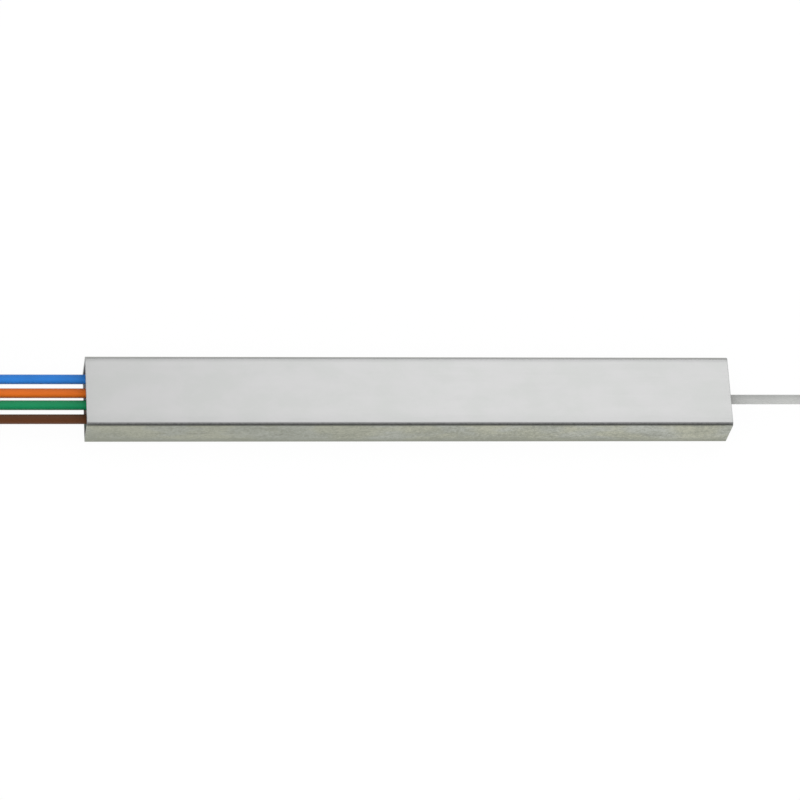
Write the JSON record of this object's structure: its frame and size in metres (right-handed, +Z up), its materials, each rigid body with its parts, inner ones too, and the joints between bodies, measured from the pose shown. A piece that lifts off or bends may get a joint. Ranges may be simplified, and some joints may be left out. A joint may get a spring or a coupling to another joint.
{
  "type": "plc fibre splitter",
  "caption": "Slim rectangular steel tube that splits one loose-tube optical fibre into several coloured ones with a planar lightwave chip inside.",
  "frame": {"origin": "middle of the steel tube's resting face", "axes": "+X along the tube towards the input fibre, +Y across it to the rear, +Z up through its thin side"},
  "size_m": [0.1495, 0.0183, 0.012],
  "materials": {
    "tube_steel": "satin, cold drawn",
    "plug_rubber": "matt moulded rubber",
    "potting_resin": "cast amber resin",
    "channel_metal": "folded sheet",
    "pad_silicone": "soft white silicone",
    "chip_silica": "polished silica on silicon",
    "array_glass": "ground glass with polished ends",
    "array_resin": "cured bead",
    "ribbon_acrylate": "clear ribbon matrix",
    "fibre_blue": "coloured fibre coating",
    "fibre_orange": "coloured fibre coating",
    "fibre_green": "coloured fibre coating",
    "fibre_brown": "coloured fibre coating",
    "fibre_natural": "clear fibre coating",
    "loose_tube_blue": "extruded loose tube",
    "loose_tube_orange": "extruded loose tube",
    "loose_tube_green": "extruded loose tube",
    "loose_tube_brown": "extruded loose tube",
    "loose_tube_grey": "extruded loose tube",
    "loose_tube_bundle": "the four output loose tubes wound together",
    "tie_plastic": "flat plastic twist tie"
  },
  "bodies": {
    "root": {"steel_tube": "tube_steel", "output_end_plug": "plug_rubber", "input_end_plug": "plug_rubber", "output_potting": "potting_resin", "input_potting": "potting_resin", "carrier_channel": "channel_metal", "output_pad": "pad_silicone", "input_pad": "pad_silicone", "plc_chip": "chip_silica", "chip_lid_output": "array_glass", "chip_lid_input": "array_glass", "output_array_base": "array_glass", "output_array_lid": "array_glass", "output_array_glue": "array_resin", "input_array_base": "array_glass", "input_array_lid": "array_glass", "input_array_glue": "array_resin", "ribbon_jacket": "ribbon_acrylate", "input_fibre": "fibre_natural", "output_fibre_1": "fibre_blue", "output_fibre_2": "fibre_orange", "output_fibre_3": "fibre_green", "output_fibre_4": "fibre_brown", "output_tube_1": "loose_tube_blue", "output_tube_2": "loose_tube_orange", "output_tube_3": "loose_tube_green", "output_tube_4": "loose_tube_brown", "input_tube": "loose_tube_grey", "output_hank": "loose_tube_bundle", "input_hank": "loose_tube_grey", "output_tie_front": "tie_plastic", "output_tie_rear": "tie_plastic", "input_tie_front": "tie_plastic", "input_tie_rear": "tie_plastic"}
  },
  "joints": []
}
